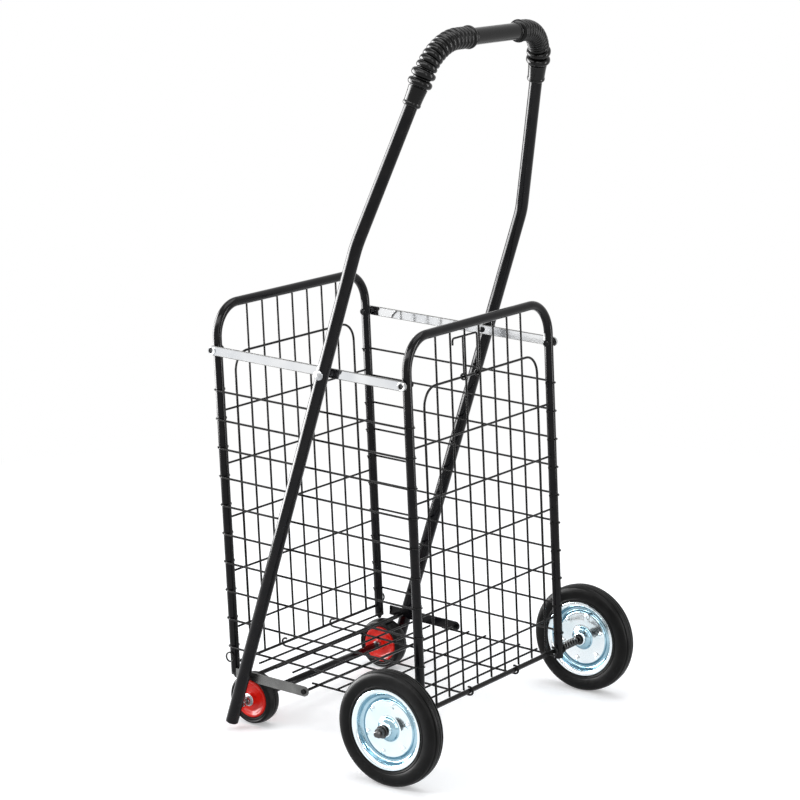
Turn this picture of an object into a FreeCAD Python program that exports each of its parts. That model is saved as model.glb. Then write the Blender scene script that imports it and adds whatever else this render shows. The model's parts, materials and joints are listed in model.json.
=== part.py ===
import FreeCAD, Part
import math
import os

V = FreeCAD.Vector
os.makedirs("parts", exist_ok=True)

# Folding shopping cart, in millimetres: +Z up, X from the small wheels to the large wheels,
# Y along the axles, z = 0 on the ground, y = 0 on the plane of symmetry.

# --- Stance -------------------------------------------------------------------------------
LEAN = 3.0               # both basket panels lean this many degrees towards the small wheels
RISE = 1.7               # links rise this many degrees from the rear panel to the front one
LINK = 323.0             # pivot to pivot length of every link between the two panels
AXLE_X = 138.1           # large axle, along X
BIG_R = 80.0             # large wheel, and so the height of its axle

# --- Tubes and wires ----------------------------------------------------------------------
POST_R = 6.5             # panel frame tube
POST_WALL = 1.2
POST_Y = 172.0           # panel posts, either side of the middle
PANEL_TOP = 511.0        # axle line to the centre of the top tube, along the post
PANEL_FOOT = 13.0        # post end below the axle line
CORNER_R = 46.0
WIRE_R = 1.5             # mesh, rung and floor wire
LOOP_R = 1.7             # inner loop wire of a panel
LOOP_TOP = PANEL_TOP - 71.0
LOOP_BEND = 27.0
MESH_COUNT = 9           # upright wires, the outer two are the loop's legs
MESH_PITCH = POST_Y / 5  # between upright mesh wires
CROSS = 1.2              # offset of upright and level wires from the panel's plane
BAR_R = 2.0              # front panel's bottom wire
FIT = 0.06               # radial running clearance of every pin in its hole
GAP = 0.1                # wire end to the tube it is welded on

# --- Straps and rungs ---------------------------------------------------------------------
STRAP_S = PANEL_TOP - 60.0           # strap pivots, along the post
RUNG_COUNT = 10
RUNG_LOW = 24.8
RUNG_PITCH = (STRAP_S - 41.0) / RUNG_COUNT
RUNG_Y = POST_Y + POST_R + 0.3 + WIRE_R
RUNG_HEAD_R = 2.7
MESH_ROWS = (0.64, 2.64, 4.54, 6.42, 8.27)   # level wires, in rung pitches above the lowest rung
STRAP_Y = RUNG_Y + WIRE_R + 0.6      # inner face of the straps
STRAP_T = 2.5
STRAP_H = 13.0
STRAP_MID = 0.375 * LINK             # rear pivot to the handle's pivot
PIN_R = 3.0

# --- Handle -------------------------------------------------------------------------------
LEG_R = 9.0
LEG_WALL = 1.5
LEG_Y = STRAP_Y + STRAP_T + 3.1 + LEG_R
LEG_FOOT_Z = 12.0
CROSS_ROD_Z = BIG_R - 3.7            # tie rod between the legs
CROSS_ROD_BACK = 33.3                # tie rod behind the front panel's lower pivot, along X
CROSS_ROD_R = 3.0
KINK_Z = BIG_R + PANEL_TOP + 121.0
KINK_R = 90.0
TOP_X = 127.0            # grip bar
TOP_Y = 125.0            # legs' lines meet the bar's line here
TOP_Z = KINK_Z + 266.0
TOP_R = 58.0
GRIP_R = LEG_R + 3.0
GRIP_BAND_R = GRIP_R + 2.6           # ribbed length of the sleeve
GRIP_RIB_R = GRIP_R + 4.0            # the two bold rings
GRIP_DROP = 92.0         # grip sleeve down the leg from the corner
GRIP_CUFF = 32.0         # plain length below the rings
GRIP_END_Y = 38.0

# --- Wheels -------------------------------------------------------------------------------
AXLE_R = 4.0
SMALL_R = 37.3
SMALL_W = 24.0
SMALL_DISC_R = SMALL_R - 10.3
SMALL_HUB_HALF = 14.0
SMALL_Y = LEG_Y - LEG_R - SMALL_HUB_HALF - 19.0
ROD_END = 4.0            # small axle and tie rod end this far past the legs' centres, inside them
BIG_W = 28.0
BIG_DISC_R = BIG_R - 24.0
BIG_HUB_HALF = 19.0
BIG_Y = LEG_Y + LEG_R + 17.0 + BIG_HUB_HALF
AXLE_HALF = BIG_Y + BIG_HUB_HALF + 15.0

# --- Floor, stay brackets and latch -------------------------------------------------------
FLOOR_DROP = AXLE_R + WIRE_R + 0.3   # floor wires under the line of the two bottom pivots
FLOOR_WIRES = 10
FLOOR_PITCH = (LINK - 23.0) / FLOOR_WIRES
FLOOR_MID_Y = 57.0
FLOOR_EDGE_Y = POST_Y - POST_R - 7.5
FLOOR_SHORT_Y = FLOOR_EDGE_Y - 12.0
STAY_ROD_U = LINK - 133.0            # stay rod, from the axle along the floor
STAY_ROD_R = 2.0
STAY_ROD_V = FLOOR_DROP + WIRE_R + STAY_ROD_R + GAP
STAY_Y = RUNG_Y + WIRE_R + 1.2       # inner face of the stay brackets
STAY_T = 2.5
STAY_H = 14.0
STAY_TAIL = LINK - 12.0              # far end of the brackets, from the axle along the floor
LATCH_Y = (-44.0, -10.0)
LATCH_TOP = PANEL_TOP - 15.0
LATCH_R = 1.4
LATCH_OUT = 1.0          # catch's plane outside the loop's, so that it leans on the mesh
LATCH_TAIL = 24.0        # hooked end past the catch's own leg


def tilt(shape, angle, at):
    """Turns a shape built at the origin about Y, then carries it to its place."""
    moved = shape.copy()
    moved.rotate(V(0, 0, 0), V(0, 1, 0), angle)
    moved.translate(at)
    return moved


def turned(point, angle):
    a = math.radians(angle)
    return V(point.x * math.cos(a) + point.z * math.sin(a), point.y,
             point.z * math.cos(a) - point.x * math.sin(a))


AXLE = V(AXLE_X, 0, BIG_R)
FRONT = AXLE + turned(V(-LINK, 0, 0), RISE)


def on_rear(s, y=0.0):
    return AXLE + turned(V(0, y, s), -LEAN)


def on_front(s, y=0.0):
    return FRONT + turned(V(0, y, s), -LEAN)


def on_floor(u, v, y=0.0):
    return AXLE + turned(V(-u, y, -v), RISE)


MIDDLE = on_rear(STRAP_S) + turned(V(-STRAP_MID, 0, 0), RISE)
SLOPE = (MIDDLE.x - FRONT.x - CROSS_ROD_BACK) / (MIDDLE.z - CROSS_ROD_Z)


def leg_x(z):
    return MIDDLE.x + (z - MIDDLE.z) * SLOPE


def path(points, bend):
    """A wire of straight runs with a round bend at each inner point."""
    edges = []
    start = points[0]
    for i in range(1, len(points) - 1):
        before = (points[i] - points[i - 1]).normalize()
        after = (points[i + 1] - points[i]).normalize()
        r = bend[i - 1] if isinstance(bend, (list, tuple)) else bend
        angle = before.getAngle(after)
        cut = r * math.tan(angle / 2)
        first = points[i] - before * cut
        last = points[i] + after * cut
        inward = (after - before).normalize()
        centre = points[i] + inward * (r / math.cos(angle / 2))
        middle = centre - inward * r
        edges.append(Part.makeLine(start, first))
        edges.append(Part.Arc(first, middle, last).toShape())
        start = last
    edges.append(Part.makeLine(start, points[-1]))
    return Part.Wire(edges)


def rod(points, radius, bend):
    spine = path(points, bend)
    ring = Part.Wire([Part.makeCircle(radius, points[0], points[1] - points[0])])
    return spine.makePipeShell([ring], True, True)


def pipe(points, radius, wall, bend):
    return rod(points, radius, bend).cut(rod(points, radius - wall, bend))


def bar_y(x, z, y0, y1, radius):
    return Part.makeCylinder(radius, y1 - y0, V(x, y0, z), V(0, 1, 0))


def ring_y(x, z, y0, y1, inner, outer):
    return bar_y(x, z, y0, y1, outer).cut(bar_y(x, z, y0 - 1, y1 + 1, inner))


def mirrored(shape):
    return shape.mirror(V(0, 0, 0), V(0, 1, 0))


def pair(shape):
    return Part.makeCompound([shape, mirrored(shape)])


def fused(shapes):
    whole = shapes[0].multiFuse(shapes[1:])
    return whole.removeSplitter()


def write(name, shape):
    shape.exportStep("parts/" + name + ".step")


# --- Basket panels ------------------------------------------------------------------------
def panel_frame(foot_hole):
    """Round tube bent into an upside-down U, drilled for the rungs and the strap pins."""
    corners = [V(0, -POST_Y, -PANEL_FOOT), V(0, -POST_Y, PANEL_TOP),
               V(0, POST_Y, PANEL_TOP), V(0, POST_Y, -PANEL_FOOT)]
    tube = pipe(corners, POST_R, POST_WALL, CORNER_R)
    drills = [(RUNG_LOW + RUNG_PITCH * i, WIRE_R) for i in range(RUNG_COUNT)]
    drills.append((STRAP_S, PIN_R))
    if foot_hole:
        drills.append((0.0, foot_hole))
    holes = []
    for s, r in drills:
        for side in (-1, 1):
            holes.append(bar_y(0, s, side * POST_Y - 10, side * POST_Y + 10, r + FIT))
    return tube.cut(Part.makeCompound(holes))


def panel_mesh(bottom_bar):
    """Upright wires, level wires and the inner loop, welded where they cross."""
    wires = []
    reach = POST_Y - POST_R - GAP
    half = MESH_COUNT // 2
    low = 0.0 if bottom_bar else AXLE_R + GAP
    high = PANEL_TOP - POST_R - GAP
    for i in range(1 - half, half):
        y = i * MESH_PITCH
        wires.append(Part.makeCylinder(WIRE_R, high - low, V(-CROSS, y, low), V(0, 0, 1)))
    edge = half * MESH_PITCH
    wires.append(rod([V(CROSS, -edge, low), V(CROSS, -edge, LOOP_TOP),
                      V(CROSS, edge, LOOP_TOP), V(CROSS, edge, low)], LOOP_R, LOOP_BEND))
    for row in MESH_ROWS:
        s = RUNG_LOW + RUNG_PITCH * row
        wires.append(bar_y(CROSS, s, -reach, reach, WIRE_R))
    if bottom_bar:
        wires.append(bar_y(0, 0, -reach, reach, bottom_bar))
    return fused(wires)


def place_rear(shape):
    return tilt(shape, -LEAN, AXLE)


def place_front(shape):
    return tilt(shape, -LEAN, FRONT)


def foot_plugs():
    """Push-in caps closing the front posts' lower ends."""
    top = -PANEL_FOOT - GAP
    cap = Part.makeCylinder(POST_R, 3.0, V(0, -POST_Y, top - 3.0), V(0, 0, 1))
    tip = Part.makeCone(2.2, 4.5, 5.0, V(0, -POST_Y, top - 8.0), V(0, 0, 1))
    return pair(cap.fuse(tip))


# --- Links --------------------------------------------------------------------------------
def rung(index):
    """One wire each side, its ends turned in through the posts and headed inside."""
    s = RUNG_LOW + RUNG_PITCH * index
    inner = POST_Y - POST_R - 0.3
    rear = on_rear(s)
    front = on_front(s)
    points = []
    for end in (front, rear):
        points.append(V(end.x, -inner + 1.6, end.z))
        points.append(V(end.x, -RUNG_Y, end.z))
    corners = [points[0], points[1], points[3], points[2]]
    wire = rod(corners, WIRE_R, WIRE_R + 0.3)
    heads = []
    for end in (front, rear):
        heads.append(bar_y(end.x, end.z, -inner, -inner + 1.6, RUNG_HEAD_R))
    return pair(fused([wire] + heads))


def strap():
    """Flat bar from post to post with the handle's pivot hole part way along."""
    rear = on_rear(STRAP_S)
    front = on_front(STRAP_S)
    end = STRAP_H / 2
    body = Part.makeBox(LINK, STRAP_T, STRAP_H, V(-LINK, 0, -end))
    ends = [bar_y(-LINK, 0, 0, STRAP_T, end), bar_y(0, 0, 0, STRAP_T, end)]
    flat = tilt(fused([body] + ends), RISE, V(rear.x, -STRAP_Y - STRAP_T, rear.z))
    for at in (rear, front, MIDDLE):
        flat = flat.cut(bar_y(at.x, at.z, -STRAP_Y - 9, -STRAP_Y + 9, PIN_R + FIT))
    return flat


def post_pin(at):
    """Rivet through a post: inner tail, spacer up to the strap, domed outer head."""
    inner = POST_Y - POST_R - 0.2
    outer = POST_Y + POST_R + 0.2
    head = STRAP_Y + STRAP_T + 0.2
    shank = bar_y(at.x, at.z, -head - 1, -inner + 1, PIN_R)
    tail = bar_y(at.x, at.z, -inner, -inner + 2.2, 4.8)
    spacer = bar_y(at.x, at.z, -STRAP_Y + 0.3, -outer, 5.0)
    cap = bar_y(at.x, at.z, -head - 2.2, -head, 6.0)
    dome = cap.makeFillet(1.4, [e for e in cap.Edges if e.BoundBox.YMax < -head - 2.1])
    return fused([shank, tail, spacer, dome])


def handle_pin():
    """Rivet joining the leg to the strap, with a spacer between them."""
    inside = STRAP_Y - 0.3
    spacer_in = STRAP_Y + STRAP_T + 0.3
    leg_in = LEG_Y - LEG_R - 0.05
    leg_out = LEG_Y + LEG_R + 0.05
    x, z = MIDDLE.x, MIDDLE.z
    shank = bar_y(x, z, -leg_out - 1, -inside + 1, PIN_R)
    tail = bar_y(x, z, -inside, -inside + 1.6, 4.4)
    spacer = bar_y(x, z, -leg_in, -spacer_in, 6.5)
    cap = bar_y(x, z, -leg_out - 3.4, -leg_out, 7.0)
    dome = cap.makeFillet(3.0, [e for e in cap.Edges if e.BoundBox.YMax < -leg_out - 3.3])
    return fused([shank, tail, spacer, dome])


# --- Handle -------------------------------------------------------------------------------
def handle_line():
    kink = V(leg_x(KINK_Z), -LEG_Y, KINK_Z)
    corner = V(TOP_X, -TOP_Y, TOP_Z)
    foot = V(leg_x(LEG_FOOT_Z), -LEG_Y, LEG_FOOT_Z)
    return foot, kink, corner


def other(point):
    return V(point.x, -point.y, point.z)


def handle_tube():
    foot, kink, corner = handle_line()
    line = [foot, kink, corner, other(corner), other(kink), other(foot)]
    tube = pipe(line, LEG_R, LEG_WALL, [KINK_R, TOP_R, TOP_R, KINK_R])
    small = V(leg_x(SMALL_R), 0, SMALL_R)
    cross = V(leg_x(CROSS_ROD_Z), 0, CROSS_ROD_Z)
    holes = []
    for at, r, past in ((small, AXLE_R, 0), (cross, CROSS_ROD_R, 0), (MIDDLE, PIN_R, 14)):
        holes.append(bar_y(at.x, at.z, -LEG_Y - past, -LEG_Y + 14, r + FIT))
    return tube.cut(pair(Part.makeCompound(holes)))


def grip():
    """Soft sleeve over the handle's bend: a plain cuff, two bold rings, then a ribbed band."""
    foot, kink, corner = handle_line()
    up = (corner - kink).normalize()
    low = corner - up * GRIP_DROP
    end = V(TOP_X, -GRIP_END_Y, TOP_Z)
    band = low + up * GRIP_CUFF
    parts = [rod([low, corner, end], GRIP_R, TOP_R), rod([band, corner, end], GRIP_BAND_R, TOP_R)]
    for rise in (0.0, 9.0):
        parts.append(Part.makeCylinder(GRIP_RIB_R, 5.0, band + up * rise, up))
    bore = rod([low - up * 2, corner, V(TOP_X, 2 - GRIP_END_Y, TOP_Z)], LEG_R + 0.05, TOP_R)
    return fused(parts).cut(bore)


# --- Wheels -------------------------------------------------------------------------------
def revolved(profile, x, z):
    """Spins an (r, y) outline about the wheel's axis."""
    points = [V(r, y, 0) for r, y in profile]
    face = Part.Face(Part.makePolygon(points + [points[0]]))
    solid = face.revolve(V(0, 0, 0), V(0, 1, 0), 360)
    solid.translate(V(x, 0, z))
    return solid


def tyre(radius, bore, width, y, x, z):
    w = width / 2
    outline = [(bore, y - w + 3), (bore + 3, y - w), (radius - 8, y - w), (radius - 3, y - w + 4),
               (radius - 0.6, y - w + 8), (radius, y - 2.2), (radius - 1.2, y), (radius, y + 2.2),
               (radius - 0.6, y + w - 8), (radius - 3, y + w - 4), (radius - 8, y + w),
               (bore + 3, y + w), (bore, y + w - 3)]
    return revolved(outline, x, z)


def disc(radius, width, y, bore, boss, hub_half, x, z):
    """Pressed wheel centre: flared rim, sunk ring, flat web and raised boss on both faces."""
    w = width / 2
    near = [(radius, w - 1.5), (radius - 6, w - 2.5), (radius - 9, w - 6.5), (radius - 16, w - 8.0),
            (boss * 2.1, w - 7.0), (boss * 1.5, w - 2.0), (boss, w), (boss, hub_half)]
    outline = [(bore, -hub_half)] + [(r, -h) for r, h in reversed(near)]
    outline += near + [(bore, hub_half)]
    return revolved([(r, y + h) for r, h in outline], x, z)


def nut(x, z, y0, y1, across, bore):
    points = []
    for i in range(7):
        a = math.radians(60 * i)
        points.append(V(x + across * math.cos(a), y0, z + across * math.sin(a)))
    block = Part.Face(Part.makePolygon(points)).extrude(V(0, y1 - y0, 0))
    return block.cut(bar_y(x, z, y0 - 1, y1 + 1, bore))


def axle_spacers():
    """Sleeves on the large axle between the posts and the wheels."""
    inner = POST_Y + POST_R + 0.3
    outer = BIG_Y - BIG_HUB_HALF - 0.5
    sleeve = ring_y(AXLE_X, BIG_R, -outer, -inner, AXLE_R + GAP, 6.6)
    collar = ring_y(AXLE_X, BIG_R, -inner - 3.5, -inner, AXLE_R + GAP, 9.0)
    return pair(sleeve.fuse(collar).removeSplitter())


def axle_nuts():
    face = BIG_Y + BIG_HUB_HALF + 0.5
    washer = ring_y(AXLE_X, BIG_R, -face - 1.6, -face, AXLE_R + GAP, 9.0)
    hexagon = nut(AXLE_X, BIG_R, -face - 8.4, -face - 1.6, 7.5, AXLE_R + GAP)
    return pair(washer.fuse(hexagon))


def small_nuts():
    """Washer and nut outside each small wheel, a nut inside it and one against each leg."""
    x, z = leg_x(SMALL_R), SMALL_R
    hub_out = SMALL_Y + SMALL_HUB_HALF + 0.5
    hub_in = SMALL_Y - SMALL_HUB_HALF - 0.5
    leg_in = LEG_Y - LEG_R - 0.2
    bore = AXLE_R + GAP
    washer = ring_y(x, z, -hub_out - 1.5, -hub_out, bore, 9.0)
    outer = washer.fuse(nut(x, z, -hub_out - 8.0, -hub_out - 1.5, 7.2, bore))
    against_leg = nut(x, z, -leg_in, -leg_in + 5.0, 7.2, bore)
    inner = nut(x, z, -hub_in, -hub_in + 5.5, 7.2, bore)
    return pair(Part.makeCompound([outer, against_leg, inner]))


def cross_rod():
    """Tie rod between the legs, swaged against the inner side of each."""
    x, z = leg_x(CROSS_ROD_Z), CROSS_ROD_Z
    reach = LEG_Y + ROD_END
    leg_in = LEG_Y - LEG_R - 0.2
    parts = [bar_y(x, z, -reach, reach, CROSS_ROD_R)]
    for y in (-leg_in, leg_in - 1.5):
        parts.append(bar_y(x, z, y, y + 1.5, CROSS_ROD_R + 1.5))
    return fused(parts)


# --- Floor --------------------------------------------------------------------------------
def hook(y, at_x, side, start, sweep):
    """Wire curl about a pivot, from straight below it round to its top."""
    centre = V(at_x, y, 0)
    points = []
    for i in range(3):
        a = math.radians(start + side * sweep * i / 2)
        points.append(centre + V(math.cos(a), 0, math.sin(a)) * FLOOR_DROP)
    arc = Part.Wire([Part.Arc(*points).toShape()])
    ring = Part.Wire([Part.makeCircle(WIRE_R, points[0], V(side, 0, 0))])
    return arc.makePipeShell([ring], True, True)


def floor_grid():
    """Floor of crossed wires, hooked round the axle behind and the front panel's bottom wire."""
    wires = []
    for y in (-FLOOR_MID_Y, FLOOR_MID_Y):
        wires.append(Part.makeCylinder(WIRE_R, LINK, V(-LINK, y, -FLOOR_DROP), V(1, 0, 0)))
        wires.append(hook(y, -LINK, -1, -90, 200))
        wires.append(hook(y, 0, 1, -90, 205))
    for y in (-FLOOR_EDGE_Y, FLOOR_EDGE_Y):
        length = STAY_ROD_U + 6
        wires.append(Part.makeCylinder(WIRE_R, length, V(-length, y, -FLOOR_DROP), V(1, 0, 0)))
        wires.append(hook(y, 0, 1, -90, 205))
    rise = 2 * CROSS - FLOOR_DROP
    for i in range(1, FLOOR_WIRES + 1):
        u = FLOOR_PITCH * i
        half = FLOOR_EDGE_Y + 3 if u < STAY_ROD_U else FLOOR_SHORT_Y
        wires.append(bar_y(-u, rise, -half, half, WIRE_R))
    return tilt(fused(wires), RISE, AXLE)


def stay_rod():
    """Rod under the floor that carries the stay brackets, headed outside them."""
    face = STAY_Y + STAY_T + 0.2
    at = on_floor(STAY_ROD_U, STAY_ROD_V)
    parts = [bar_y(at.x, at.z, -face - 1, face + 1, STAY_ROD_R)]
    for side in (-1, 1):
        low = min(side * face, side * (face + 1.7))
        parts.append(bar_y(at.x, at.z, low, low + 1.7, STAY_ROD_R + 1.8))
        low = min(side * (STAY_Y - 0.3), side * (STAY_Y - 2.3))
        parts.append(bar_y(at.x, at.z, low, low + 2.0, STAY_ROD_R + 1.8))
    return fused(parts)


def stay_bracket():
    """Flat bar pivoting on the stay rod, its notch dropped over the legs' tie rod."""
    low = -STAY_ROD_V - STAY_H / 2
    length = STAY_TAIL - STAY_ROD_U
    body = Part.makeBox(length, STAY_T, STAY_H, V(-STAY_TAIL, 0, low))
    nose = bar_y(-STAY_ROD_U, -STAY_ROD_V, 0, STAY_T, STAY_H / 2)
    flat = body.fuse(nose)
    flat = flat.cut(bar_y(-STAY_ROD_U, -STAY_ROD_V, -1, STAY_T + 1, STAY_ROD_R + FIT))
    rod_at = turned(V(leg_x(CROSS_ROD_Z) - AXLE.x, 0, CROSS_ROD_Z - AXLE.z), -RISE)
    r = CROSS_ROD_R + 0.4
    seat = bar_y(rod_at.x, rod_at.z, -1, STAY_T + 1, r)
    mouth = Part.makePolygon([V(rod_at.x - r, -1, rod_at.z), V(rod_at.x - r, -1, low - 1),
                              V(rod_at.x + 16, -1, low - 1), V(rod_at.x + r, -1, rod_at.z + 0.6),
                              V(rod_at.x - r, -1, rod_at.z)])
    slot = Part.Face(mouth).extrude(V(0, STAY_T + 2, 0))
    flat = flat.cut(seat).cut(slot)
    flat = flat.removeSplitter()
    return tilt(flat, RISE, V(AXLE.x, -STAY_Y - STAY_T, AXLE.z))


def latch():
    """Wire catch hinged on the rear panel's loop, standing against the mesh."""
    eye = WIRE_R + 0.1
    ring = LOOP_R + 0.4 + eye
    x = CROSS + LATCH_OUT
    low = LOOP_TOP + math.sqrt(ring ** 2 - LATCH_OUT ** 2)
    a, b = LATCH_Y
    end = a - LATCH_TAIL
    parts = [rod([V(x, b, low), V(x, b, LATCH_TOP), V(x, end, LATCH_TOP),
                  V(x, end, LATCH_TOP - 9.0)], LATCH_R, 4.0)]
    parts.append(Part.makeCylinder(LATCH_R - 0.1, LATCH_TOP - low, V(x, a, low), V(0, 0, 1)))
    for y in (a, b):
        parts.append(Part.makeTorus(ring, eye, V(CROSS, y, LOOP_TOP), V(0, 1, 0)))
    return place_rear(fused(parts))


# --- Write every node ---------------------------------------------------------------------
write("rear_frame", place_rear(panel_frame(AXLE_R)))
write("rear_mesh", place_rear(panel_mesh(0)))
write("rear_axle", bar_y(AXLE_X, BIG_R, -AXLE_HALF, AXLE_HALF, AXLE_R))
write("axle_spacers", axle_spacers())
write("axle_nuts", axle_nuts())
write("rear_strap_pins", pair(post_pin(on_rear(STRAP_S))))

write("front_frame", place_front(panel_frame(0)))
write("front_mesh", place_front(panel_mesh(BAR_R)))
write("front_foot_plugs", place_front(foot_plugs()))
write("front_strap_pins", pair(post_pin(on_front(STRAP_S))))

write("strap_near", strap())
write("strap_far", mirrored(strap()))
for n in range(RUNG_COUNT):
    write("rung_%02d" % (n + 1), rung(n))

write("handle_tube", handle_tube())
write("grip_near", grip())
write("grip_far", mirrored(grip()))
write("handle_pins", pair(handle_pin()))
write("cross_rod", cross_rod())
write("small_axle", bar_y(leg_x(SMALL_R), SMALL_R, -LEG_Y - ROD_END, LEG_Y + ROD_END, AXLE_R))
write("small_axle_nuts", small_nuts())

for side, name in ((-1, "near"), (1, "far")):
    y = side * BIG_Y
    write("big_tyre_" + name, tyre(BIG_R, BIG_DISC_R + 0.1, BIG_W, y, AXLE_X, BIG_R))
    write("big_disc_" + name, disc(BIG_DISC_R, BIG_W, y, AXLE_R + FIT, 9.0, BIG_HUB_HALF,
                                   AXLE_X, BIG_R))
    y = side * SMALL_Y
    x = leg_x(SMALL_R)
    write("small_tyre_" + name, tyre(SMALL_R, SMALL_DISC_R + 0.1, SMALL_W, y, x, SMALL_R))
    write("small_hub_" + name, disc(SMALL_DISC_R, SMALL_W, y, AXLE_R + FIT, 6.5, SMALL_HUB_HALF,
                                    x, SMALL_R))

write("floor_grid", floor_grid())
write("stay_rod", stay_rod())
write("stay_bracket_near", stay_bracket())
write("stay_bracket_far", mirrored(stay_bracket()))
write("wire_latch", latch())
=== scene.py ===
import bpy
import bmesh
import json
import math
from mathutils import Matrix, Vector

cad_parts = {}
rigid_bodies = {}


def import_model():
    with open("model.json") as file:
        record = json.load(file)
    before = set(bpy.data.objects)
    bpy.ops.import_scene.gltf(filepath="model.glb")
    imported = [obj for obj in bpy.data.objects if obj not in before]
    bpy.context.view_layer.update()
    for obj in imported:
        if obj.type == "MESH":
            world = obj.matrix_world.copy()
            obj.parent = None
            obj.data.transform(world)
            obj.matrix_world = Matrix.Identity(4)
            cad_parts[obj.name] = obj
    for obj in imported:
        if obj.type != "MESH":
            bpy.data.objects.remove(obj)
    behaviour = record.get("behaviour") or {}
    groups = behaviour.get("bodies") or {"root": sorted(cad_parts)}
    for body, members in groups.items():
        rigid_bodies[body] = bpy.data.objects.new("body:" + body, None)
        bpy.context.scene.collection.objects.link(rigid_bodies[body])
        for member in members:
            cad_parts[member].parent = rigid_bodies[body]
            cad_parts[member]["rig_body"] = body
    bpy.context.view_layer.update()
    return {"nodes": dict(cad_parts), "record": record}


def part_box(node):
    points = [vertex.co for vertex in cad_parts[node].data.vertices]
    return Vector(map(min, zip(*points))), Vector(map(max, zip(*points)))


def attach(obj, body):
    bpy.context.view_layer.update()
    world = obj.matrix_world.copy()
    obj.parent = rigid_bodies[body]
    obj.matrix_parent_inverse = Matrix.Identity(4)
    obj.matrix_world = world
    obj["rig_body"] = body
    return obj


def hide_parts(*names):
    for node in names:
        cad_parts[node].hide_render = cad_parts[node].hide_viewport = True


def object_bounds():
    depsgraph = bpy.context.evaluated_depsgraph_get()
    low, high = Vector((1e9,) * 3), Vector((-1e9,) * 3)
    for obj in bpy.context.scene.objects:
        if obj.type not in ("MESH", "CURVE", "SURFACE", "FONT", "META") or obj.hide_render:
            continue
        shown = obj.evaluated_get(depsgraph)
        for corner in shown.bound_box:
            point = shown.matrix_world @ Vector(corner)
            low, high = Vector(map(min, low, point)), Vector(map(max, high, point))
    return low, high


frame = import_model()
nodes = frame["nodes"]
print("stage: frame loaded,", len(nodes), "nodes")


def centreOf(node):
    low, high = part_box(node)
    return (Vector(low) + Vector(high)) / 2


def sizeOf(node):
    low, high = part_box(node)
    return Vector(high) - Vector(low)


# tube radii, the posts' distance from the middle, and the radius of a rung's headed end
cart = {"post": 0.0065, "leg": 0.009, "postY": 0.172, "headRadius": 0.0027}

# shared shader effects

def newGroup(name, inputs, outputs):
    group = bpy.data.node_groups.new(name, "ShaderNodeTree")
    for label, value in inputs:
        socket = group.interface.new_socket(label, in_out="INPUT", socket_type="NodeSocketFloat")
        socket.default_value = value
    for label in outputs:
        group.interface.new_socket(label, in_out="OUTPUT", socket_type="NodeSocketFloat")
    return group, group.nodes.new("NodeGroupInput"), group.nodes.new("NodeGroupOutput")


def addNoise(tree, scale, detail, coords, roughness=0.5):
    noise = tree.nodes.new("ShaderNodeTexNoise")
    noise.inputs["Detail"].default_value = detail
    noise.inputs["Roughness"].default_value = roughness
    tree.links.new(coords, noise.inputs["Vector"])
    if isinstance(scale, (int, float)):
        noise.inputs["Scale"].default_value = scale
    else:
        tree.links.new(scale, noise.inputs["Scale"])
    return noise.outputs["Fac"]


def addMath(tree, operation, first, second):
    node = tree.nodes.new("ShaderNodeMath")
    node.operation = operation
    for slot, value in enumerate((first, second)):
        if isinstance(value, (int, float)):
            node.inputs[slot].default_value = value
        else:
            tree.links.new(value, node.inputs[slot])
    return node.outputs[0]


def addRange(tree, value, low, high, toLow, toHigh):
    node = tree.nodes.new("ShaderNodeMapRange")
    node.clamp = True
    tree.links.new(value, node.inputs["Value"])
    for label, number in (("From Min", low), ("From Max", high), ("To Min", toLow), ("To Max", toHigh)):
        node.inputs[label].default_value = number
    return node.outputs["Result"]


def buildPaintFilm():
    # sprayed paint: slow gloss drift, fine orange peel and a few dust nibs
    group, source, result = newGroup(
        "paintFilm", [("Scale", 90.0), ("Nibs", 0.35)], ["Gloss", "Tone", "Height"])
    coords = group.nodes.new("ShaderNodeTexCoord").outputs["Object"]
    peel = addNoise(group, addMath(group, "MULTIPLY", source.outputs["Scale"], 8.0), 2.0, coords)
    drift = addNoise(group, source.outputs["Scale"], 3.0, coords)
    speck = group.nodes.new("ShaderNodeTexVoronoi")
    speck.feature = "F1"
    group.links.new(coords, speck.inputs["Vector"])
    group.links.new(addMath(group, "MULTIPLY", source.outputs["Scale"], 4.0), speck.inputs["Scale"])
    nib = addRange(group, speck.outputs["Distance"], 0.0, 0.09, 1.0, 0.0)
    nib = addMath(group, "MULTIPLY", nib, source.outputs["Nibs"])
    group.links.new(addRange(group, drift, 0.3, 0.7, 0.0, 1.0), result.inputs["Gloss"])
    group.links.new(addMath(group, "MAXIMUM", addRange(group, drift, 0.42, 0.75, 0.0, 0.6), nib),
                    result.inputs["Tone"])
    group.links.new(addMath(group, "ADD", peel, nib), result.inputs["Height"])
    return group


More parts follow.
